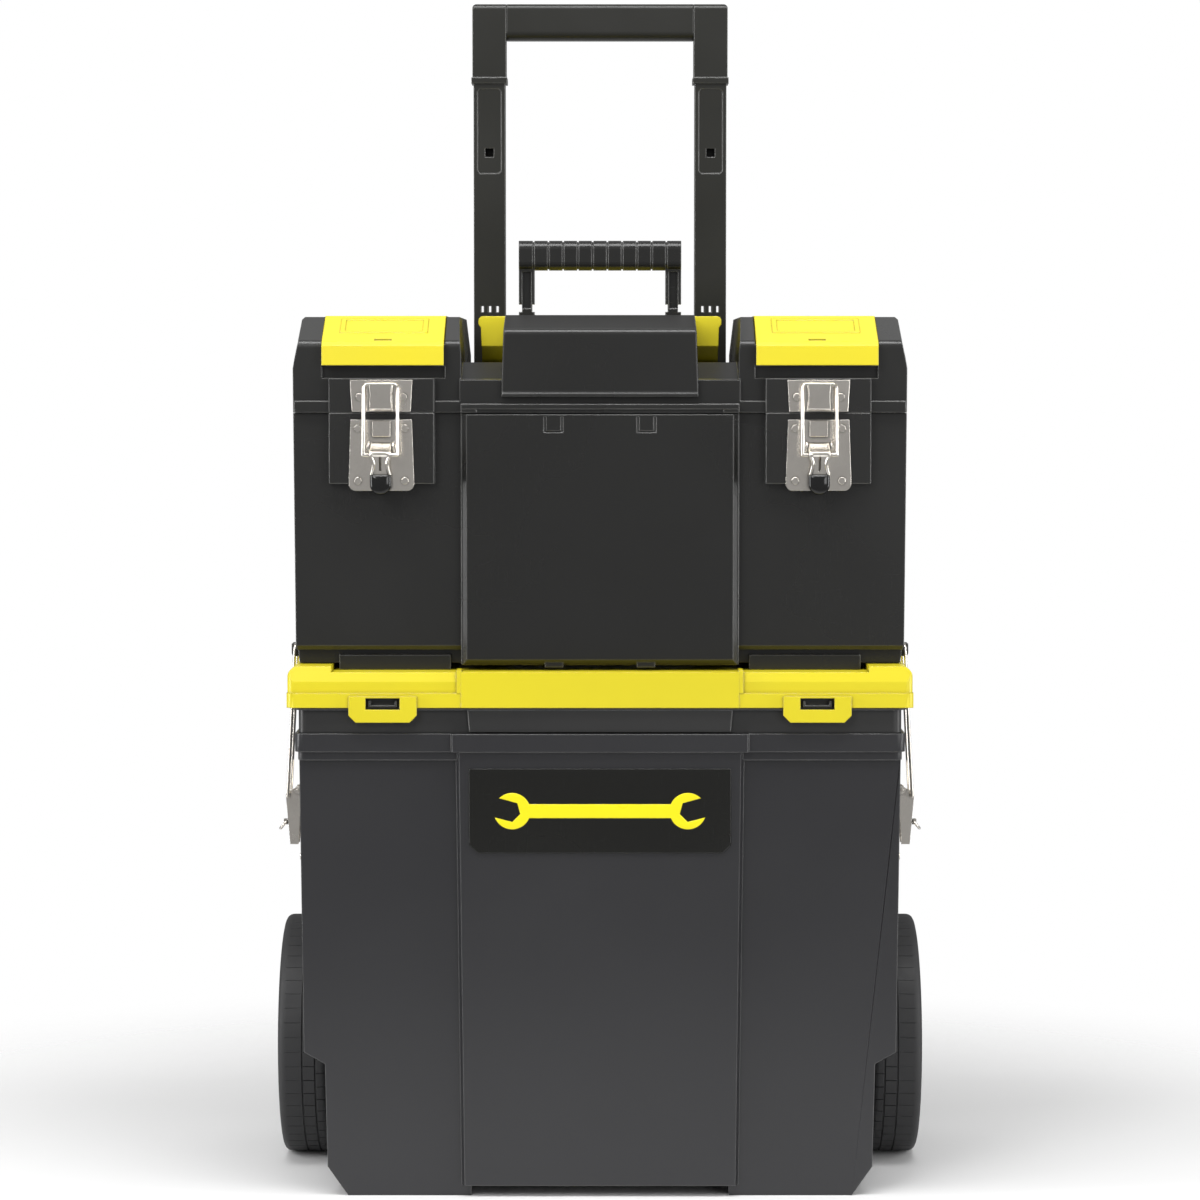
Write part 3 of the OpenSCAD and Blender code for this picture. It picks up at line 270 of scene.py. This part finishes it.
def plastic(name, colour, roughness, painted_edge_colour, grain_depth=GRAIN_DEPTH):
    """Moulded plastic: fine spark-eroded grain, slow changes of gloss, hair scratches, a higher polish on the
    edges, edges painted in patches towards a given colour (a painted highlight on the black plastics, painted
    shade on the yellow), and painted shade in tight corners."""
    r = Recipe(name, colour, roughness)
    fine = r.noise(900, 2.0, 0.6)
    slow = r.noise(9, 3.0, 0.5)
    hair = r.noise(55, 6.0, 0.75, stretch=(16, 1, 1))
    cross = r.noise(48, 6.0, 0.75, stretch=(1, 1, 14))
    rounded = r.rounded(PLASTIC_ROUND * MM)
    edge = r.edge(rounded)
    scratch = r.maximum(r.remap(hair, 0.63, 0.72, 0.0, 1.0), r.remap(cross, 0.65, 0.73, 0.0, 1.0))
    rough = r.add(r.remap(slow, 0.3, 0.7, roughness * 0.88, roughness * 1.12), scratch, 0.06)
    r.link(r.add(rough, edge, -0.12), r.shader.inputs["Roughness"])
    mottled = r.mix(r.remap(slow, 0.35, 0.65, 0.0, 0.3), colour, tuple(c * 0.84 for c in colour))
    scuffed = r.mix(r.mul(scratch, 0.03), mottled, painted_edge_colour)
    edge_patchiness = r.noise(30, 5.0, 0.6)
    painted_edge_amount = r.mul(edge, r.remap(edge_patchiness, 0.3, 0.7, 0.45, 1.0))
    # Base colour: edges painted towards the edge colour (painted highlight on black, painted shade on
    # yellow), then painted shade in tight corners
    r.link(r.painted_corner_shade(r.mix(painted_edge_amount, scuffed, painted_edge_colour), 3 * MM, 0.55), r.shader.inputs["Base Color"])
    r.link(r.bump(fine, 0.25, grain_depth * MM, rounded), r.shader.inputs["Normal"])
    return r.material


def metal(name, colour, roughness):
    """Plated sheet steel: faint rolling lines, smudges, edges painted near-white as a painted highlight, and
    painted shade in tight corners and under close pieces.
    """
    r = Recipe(name, colour, roughness, metallic=1.0)
    rolled = r.noise(160, 3.0, 0.6, stretch=(1, 1, 30))
    smudge = r.noise(45, 4.0, 0.6)
    rounded = r.rounded(METAL_ROUND * MM)
    edge = r.mul(r.edge(rounded), 0.6)
    r.link(r.add(r.remap(smudge, 0.3, 0.7, roughness * 0.6, roughness * 1.6), edge, -0.08),
           r.shader.inputs["Roughness"])
    dull = tuple(c * 0.72 for c in colour)
    aged = r.mix(r.remap(smudge, 0.45, 0.75, 0.0, 0.6), colour, dull)
    # Base colour: edges painted near-white as a painted highlight, then painted shade in tight corners and
    # under close pieces
    r.link(r.painted_corner_shade(r.mix(edge, aged, STEEL_EDGE_HIGHLIGHT), 2.5 * MM, 0.12), r.shader.inputs["Base Color"])
    r.link(r.bump(rolled, 0.12, 0.03 * MM, rounded), r.shader.inputs["Normal"])
    return r.material


def rubber(name, colour):
    """Dull tyre rubber with dust in its pores."""
    r = Recipe(name, colour, 0.62)
    fine = r.noise(700, 3.0, 0.6)
    dust = r.noise(35, 5.0, 0.6)
    r.link(r.mix(r.remap(dust, 0.45, 0.75, 0.0, 0.5), colour, tuple(c * 1.5 + 0.01 for c in colour)),
           r.shader.inputs["Base Color"])
    r.link(r.remap(dust, 0.3, 0.7, 0.5, 0.75), r.shader.inputs["Roughness"])
    r.link(r.bump(fine, 0.3, 0.05 * MM), r.shader.inputs["Normal"])
    return r.material


# Colours painted on the edges: painted highlights on the black plastics, the labels and the tip, painted
# shade lines on the yellow
EDGE_HIGHLIGHT_BLACK = (0.20, 0.20, 0.195)
EDGE_SHADE_YELLOW = (0.46, 0.36, 0.010)
EDGE_HIGHLIGHT_GLOSS_BLACK = (0.02, 0.02, 0.02)
EDGE_HIGHLIGHT_PRINT_YELLOW = (0.88, 0.78, 0.03)
# Colour, roughness, colour painted on the edges as a painted highlight on black and painted shade on yellow,
# and depth of the grain where it isn't GRAIN_DEPTH
PLASTICS = {
    "bin_plastic": ((0.019, 0.019, 0.021), 0.34, EDGE_HIGHLIGHT_BLACK),
    "box_plastic": ((0.012, 0.012, 0.0115), 0.28, EDGE_HIGHLIGHT_BLACK),
    "panel_plastic": ((0.010, 0.010, 0.0095), 0.28, EDGE_HIGHLIGHT_BLACK),
    "tray_plastic": ((0.018, 0.018, 0.018), 0.40, EDGE_HIGHLIGHT_BLACK),
    "tote_plastic": ((0.020, 0.020, 0.020), 0.45, EDGE_HIGHLIGHT_BLACK),
    "handle_plastic": ((0.0085, 0.0085, 0.0065), 0.34, EDGE_HIGHLIGHT_BLACK),
    "grip_plastic": ((0.008, 0.008, 0.0075), 0.28, EDGE_HIGHLIGHT_BLACK),
    "wheel_plastic": ((0.014, 0.014, 0.015), 0.42, EDGE_HIGHLIGHT_BLACK),
    "yellow_plastic": ((0.66, 0.56, 0.015), 0.34, EDGE_SHADE_YELLOW),
    "label_black": ((0.004, 0.004, 0.003), 0.26, EDGE_HIGHLIGHT_GLOSS_BLACK, SMOOTH_DEPTH),
    "label_yellow": ((0.86, 0.74, 0.008), 0.30, EDGE_HIGHLIGHT_PRINT_YELLOW, SMOOTH_DEPTH),
    "tip_plastic": ((0.005, 0.005, 0.005), 0.14, EDGE_HIGHLIGHT_GLOSS_BLACK, SMOOTH_DEPTH),
}
FINISHES = {name: plastic(name, *recipe) for name, recipe in PLASTICS.items()}
FINISHES["tyre"] = rubber("tyre", (0.016, 0.016, 0.017))
FINISHES["latch_steel"] = metal("latch_steel", (0.80, 0.76, 0.70), 0.18)
FINISHES["zinc_steel"] = metal("zinc_steel", (0.60, 0.60, 0.58), 0.32)
slot_of = {s["node"]: s["material_slot"] for s in frame["record"]["subparts"]}

# Width of the rounding on sharp edges, in millimetres, by how a node's name starts
EDGE = {"latch": 0.35, "side": 0.25, "catch": 0.35, "label": 0.15, "organiser_lid": 1.0, "handle_cradle": 0.9,
        "bin_label": 0.3, "carry_handle": 0.5, "axle": 0.4, "guide_screws": 0.2, "box_front_panel": 0.5,
        "lid_front_cover": 1.1, "tote": 0.6, "bin_shell": 0.9, "lid_shell": 0.9}
PLAIN_EDGE = 0.8
WELD = 0.005                  # vertices closer than this are one, in millimetres
FLAT_WITHIN, SHARP = 1.0, 35  # degrees between faces that are one flat face, and that meet in a sharp edge
# Nodes whose ring-shaped faces have to stay triangulated: only the shader rounds their edges
KEEP_TRIANGLES = {"tray_body", "box_shell", "hub_cap_left", "hub_cap_right"}


def split_edges(obj, degrees):
    """Keeps the shading crisp where faces meet at more than an angle."""
    split = obj.modifiers.new("split", "EDGE_SPLIT")
    split.split_angle = math.radians(degrees)
    return split


def edge_width(name):
    return next((width for start, width in EDGE.items() if name.startswith(start)), PLAIN_EDGE)


def finish_cad_nodes():
    """Gives every CAD node its finish, and rounded edges where its mesh allows."""
    for name, obj in nodes.items():
        obj.data.materials.clear()
        obj.data.materials.append(FINISHES[slot_of[name]])
        for face in obj.data.polygons:
            face.material_index = 0
        weld = obj.modifiers.new("weld", "WELD")
        weld.merge_threshold = WELD * MM
        if name not in KEEP_TRIANGLES:
            flat = obj.modifiers.new("flat", "DECIMATE")
            flat.decimate_type = "DISSOLVE"
            flat.angle_limit = math.radians(FLAT_WITHIN)
            bevel = obj.modifiers.new("bevel", "BEVEL")
            bevel.width = edge_width(name) * MM
            bevel.segments = 3
            bevel.limit_method = "ANGLE"
            bevel.angle_limit = math.radians(SHARP)
            bevel.harden_normals = True
        split_edges(obj, 50).use_edge_sharp = False


finish_cad_nodes()

# ---------- pieces that stand for CAD nodes ----------


def mend(mesh, merge=0.0):
    """Joins vertices that are closer than merge, and turns every face outwards."""
    made = bmesh.new()
    made.from_mesh(mesh)
    if merge:
        bmesh.ops.remove_doubles(made, verts=made.verts, dist=merge)
    bmesh.ops.recalc_face_normals(made, faces=made.faces)
    made.to_mesh(mesh)
    made.free()


def mesh_object(name, vertices, faces):
    """A smooth-shaded object made from points and faces."""
    mesh = bpy.data.meshes.new(name)
    mesh.from_pydata(vertices, [], faces)
    mesh.validate()
    mend(mesh)
    obj = bpy.data.objects.new(name, mesh)
    scene.collection.objects.link(obj)
    for face in mesh.polygons:
        face.use_smooth = True
    return obj


def finish_piece(obj, body, slot, node):
    """Gives a piece its finish and body, in the place of a CAD node."""
    obj.data.materials.append(FINISHES[slot])
    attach(obj, body)
    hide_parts(node)


def quarter(steps, first=0):
    """Angles from 0 to a right angle in equal steps."""
    return [math.pi / 2 * k / steps for k in range(first, steps + 1)]


TREAD_PITCHES = 52
# Depth of the cross grooves: none on the walls, deep in the two tread rows, faint on the shoulder
TREAD_DEPTHS = (0, 0.8 * MM, 0.8 * MM, 0.3 * MM)
# Width of a cross groove as a share of its pitch, and the share of that width that is its floor
GROOVE, GROOVE_FLOOR = 0.07, 0.6
# Tyre section: distance in from the outer face and drop below the rolling radius, in millimetres, and the row
# of tread blocks that the point belongs to (0 for none, 3 for the shoulder)
TYRE_SECTION = [
    (0.6, 23.5, 0), (0.2, 16.0, 0), (0.0, 8.0, 0), (0.1, 5.4, 0), (0.5, 3.4, 0), (1.4, 1.7, 0), (2.9, 0.6, 0),
    (4.6, 0.1, 0), (6.5, 0.0, 3), (12.0, 0.0, 3), (16.9, 0.0, 3), (17.5, 0.0, 0), (17.7, 0.3, 0),
    (17.8, 1.1, 0), (18.7, 1.1, 0), (18.8, 0.3, 0), (19.1, 0.0, 1), (23.0, 0.0, 1), (26.9, 0.0, 1),
    (27.2, 0.3, 0), (27.3, 1.1, 0), (28.2, 1.1, 0), (28.3, 0.3, 0), (28.6, 0.0, 2), (31.5, 0.0, 2),
    (34.0, 0.4, 2), (35.6, 1.8, 2), (36.6, 4.6, 0), (36.9, 9.0, 0), (36.4, 16.0, 0), (36.8, 23.5, 0),
]


def make_tyre(side, name):
    """The tyre section turned round the axle, with cross grooves that alternate between the two rows."""
    low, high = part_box("tyre_" + name)
    centre = (low + high) / 2
    radius = (high.z - low.z) / 2
    outer = high.x if side > 0 else low.x
    half = GROOVE / 2
    floor = half * GROOVE_FLOOR
    steps = sorted({f % 1 for shift in (0.0, 0.5)
                    for f in (shift - half, shift - floor, shift + floor, shift + half, shift + 0.25)})
    angles = [(pitch + f, f) for pitch in range(TREAD_PITCHES) for f in steps]
    vertices = []
    for turn, f in angles:
        a = 2 * math.pi * turn / TREAD_PITCHES
        for inward, drop, row in TYRE_SECTION:
            away = abs((f - (0.5 if row == 2 else 0.0) + 0.5) % 1 - 0.5)
            cut = TREAD_DEPTHS[row] if away <= floor + 0.001 else 0
            r = radius - drop * MM - cut
            x = outer - side * inward * MM
            vertices.append((x, centre.y + r * math.cos(a), centre.z + r * math.sin(a)))
    n, m = len(angles), len(TYRE_SECTION)
    faces = [(i * m + j, i * m + (j + 1) % m, (i + 1) % n * m + (j + 1) % m, (i + 1) % n * m + j)
             for i in range(n) for j in range(m)]
    tyre = mesh_object("tyre_tread_" + name, vertices, faces)
    split_edges(tyre, 42)
    finish_piece(tyre, "wheel_" + name, "tyre", "tyre_" + name)


for side, name in ((-1, "left"), (1, "right")):
    make_tyre(side, name)

# The latch lever, in millimetres from its pivot: its holes as (y, z, radius), half widths, ends, the sheet's
# thickness, how far the flanges stand up, the slit, and the round over each hole
LEVER_PINS = {"pivot": (0.0, 0.0, 1.56), "bail": (-9.526, -5.5, 1.36)}
LEVER_HALF, LEVER_WAIST, LEVER_LOW, LEVER_TOP = 7.6, 6.1, -19.5, 3.0
SHEET = 1.15
FLANGE_RISE = 1.0
SLIT_HALF, SLIT_TOP, SLIT_LOW = 0.9, -6.5, -17.0
BAIL_BOSS, PIVOT_BOSS = 3.0, 3.4
LEVER_RINGS = 46


def lever_front(z):
    """Depth of the lever's front at a height: a leaning face, the round over the bail's end, the hood."""
    out, drop, _ = LEVER_PINS["bail"]
    boss = BAIL_BOSS
    if z < drop:
        return out - boss + (drop - z) * (boss - out - 8.0) / (drop - LEVER_LOW)
    if z < drop + boss:
        return out - math.sqrt(boss ** 2 - (z - drop) ** 2)
    return out + (z - drop - boss) * (1.2 - out) / (3.1 - drop - boss)


def lever_back(z):
    """Depth of the flanges' back edge at a height: leaning, then round the pivot."""
    return 0.7 + (z - LEVER_LOW) * 2.6 / 18.7 if z < -0.8 else math.sqrt(PIVOT_BOSS ** 2 - z ** 2)


def lever_half(z):
    """Half width at a height, with a waist above the tip."""
    waist_top = -7.5
    along = min(max((waist_top - z) / (waist_top - LEVER_LOW), 0), 1)
    return LEVER_HALF - (LEVER_HALF - LEVER_WAIST) * math.sin(math.pi * along ** 0.8)


def lever_slice(z):
    """Half of the U section at a height, as (x, y) from the middle of the web out and round to the middle."""
    w, front, back = lever_half(z), lever_front(z), lever_back(z)
    rise = FLANGE_RISE * min(max((-4.0 - z) / 2.5, 0), 1)
    web = front + rise
    corner = 1.2
    outer = [(w * 0.5, web), (w - 2.6, web), (w - 2.1, front + rise * 0.4), (w - 1.5, front + 0.02)]
    outer += [(w - corner + corner * math.sin(a), front + corner - corner * math.cos(a))
              for a in quarter(5, first=1)]
    outer += [(w, front + (back - front) * f) for f in (0.35, 0.6, 0.8, 1.0)]
    inner = [(w - SHEET, y) for _, y in reversed(outer[-4:])]
    inner += [(w - SHEET - 0.2, web + SHEET + 0.6), (w - SHEET - 0.8, web + SHEET), (w * 0.5, web + SHEET)]
    return outer + inner


def latch_pivot(node):
    """The pivot of the front latch that a node belongs to, in millimetres."""
    low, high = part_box(node)
    pin_low, pin_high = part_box("latch_pins")
    return Vector(((low.x + high.x) / 2, (pin_low.y + pin_high.y) / 2, (pin_low.z + pin_high.z) / 2)) / MM


def cut_rods(obj, rods):
    """Bores holes along X, given as (y, z, radius) in millimetres in the object's own frame."""
    for y, z, radius in rods:
        bpy.ops.mesh.primitive_cylinder_add(vertices=40, radius=radius * MM, depth=40 * MM,
                                            rotation=(0, math.pi / 2, 0))
        cutter = bpy.context.object
        cutter.data.transform(cutter.matrix_basis)
        cutter.data.transform(Matrix.Translation(Vector((0, y, z)) * MM + obj.location))
        cutter.matrix_basis = Matrix()
        bore = obj.modifiers.new("bore", "BOOLEAN")
        bore.object, bore.solver = cutter, "EXACT"
        bpy.context.view_layer.update()
        cut = bpy.data.meshes.new_from_object(obj.evaluated_get(bpy.context.evaluated_depsgraph_get()))
        obj.modifiers.remove(bore)
        obj.data = cut
        bpy.data.objects.remove(cutter)


def make_latch_lever(name):
    """The pressed steel lever: a U section with a waist, raised flanges, a slit, and a hood over the pin."""
    pivot = latch_pivot("latch_lever_" + name)
    rings = []
    for k in range(LEVER_RINGS):
        z = LEVER_LOW + (LEVER_TOP - LEVER_LOW) * k / (LEVER_RINGS - 1)
        half = lever_slice(z)
        inside = SLIT_HALF if SLIT_LOW < z < SLIT_TOP else 0.0
        section = [(inside, half[0][1])] + half + [(inside, half[-1][1])]
        rings.append([(x, y, z) for x, y in section])
    vertices, faces = [], []
    for flip in (-1, 1):
        base, m = len(vertices), len(rings[0])
        vertices += [((pivot.x + flip * x) * MM, (pivot.y + y) * MM, (pivot.z + z) * MM)
                     for ring in rings for x, y, z in ring]
        faces += [(base + i * m + j, base + i * m + j + 1, base + (i + 1) * m + j + 1, base + (i + 1) * m + j)
                  for i in range(len(rings) - 1) for j in range(m - 1)]
        for i in range(len(rings) - 1):
            if rings[i][0][0] > 0 or rings[i + 1][0][0] > 0:
                start, after = base + i * m, base + (i + 1) * m
                faces.append((start, after, after + m - 1, after - 1))
        for i in (0, len(rings) - 1):
            start, end = base + i * m, base + (i + 1) * m - 1
            faces += [(start + j, start + j + 1, end - 1 - j, end - j) for j in range(m // 2 - 1)]
    lever = mesh_object("latch_lever_pressed_" + name, vertices, faces)
    mend(lever.data, merge=0.01 * MM)
    cut_rods(lever, [(pivot.y + y, pivot.z + z, r) for y, z, r in LEVER_PINS.values()])
    split_edges(lever, 40)
    finish_piece(lever, "front_lever_" + name, "latch_steel", "latch_lever_" + name)


# The dipped tip, in millimetres from the pivot: half width, heights of its top and of its round end's centre,
# depths of its back and of where its dome starts, and how far the dome rises
TIP_HALF, TIP_TOP, TIP_CENTRE, TIP_BACK, TIP_SIDE, TIP_DOME = 7.6, -18.9, -25.9, 0.7, -5.6, 3.3


def make_latch_tip(name):
    """A glossy rounded tip on the lever's end."""
    pivot = latch_pivot("latch_tip_" + name)
    corner, top = 1.6, TIP_TOP
    outline = [(TIP_HALF * math.cos(a), TIP_CENTRE + TIP_HALF * math.sin(a))
               for a in [math.pi + math.pi * k / 28 for k in range(29)]]
    outline += [(TIP_HALF - corner + corner * math.cos(a), top - corner + corner * math.sin(a))
                for a in quarter(5)]
    outline += [(-TIP_HALF + corner - corner * math.sin(a), top - corner + corner * math.cos(a))
                for a in quarter(5)]
    middle = (top + TIP_CENTRE - 3.0) / 2
    rings = [(0.94, TIP_BACK), (1.0, TIP_BACK - 0.5), (1.0, TIP_SIDE)]
    rings += [(math.cos(a) ** 0.7, TIP_SIDE - TIP_DOME * math.sin(a)) for a in quarter(10, first=1)[:-1]]
    n = len(outline)
    vertices = [((pivot.x + x * s) * MM, (pivot.y + y) * MM, (pivot.z + middle + (z - middle) * s) * MM)
                for s, y in rings for x, z in outline]
    faces = [(i * n + j, i * n + (j + 1) % n, (i + 1) * n + (j + 1) % n, (i + 1) * n + j)
             for i in range(len(rings) - 1) for j in range(n)]
    faces += [tuple(range(n)), tuple((len(rings) - 1) * n + j for j in range(n))]
    tip = mesh_object("latch_tip_dipped_" + name, vertices, faces)
    split_edges(tip, 50)
    finish_piece(tip, "front_lever_" + name, "tip_plastic", "latch_tip_" + name)


for name in ("left", "right"):
    make_latch_lever(name)
    make_latch_tip(name)
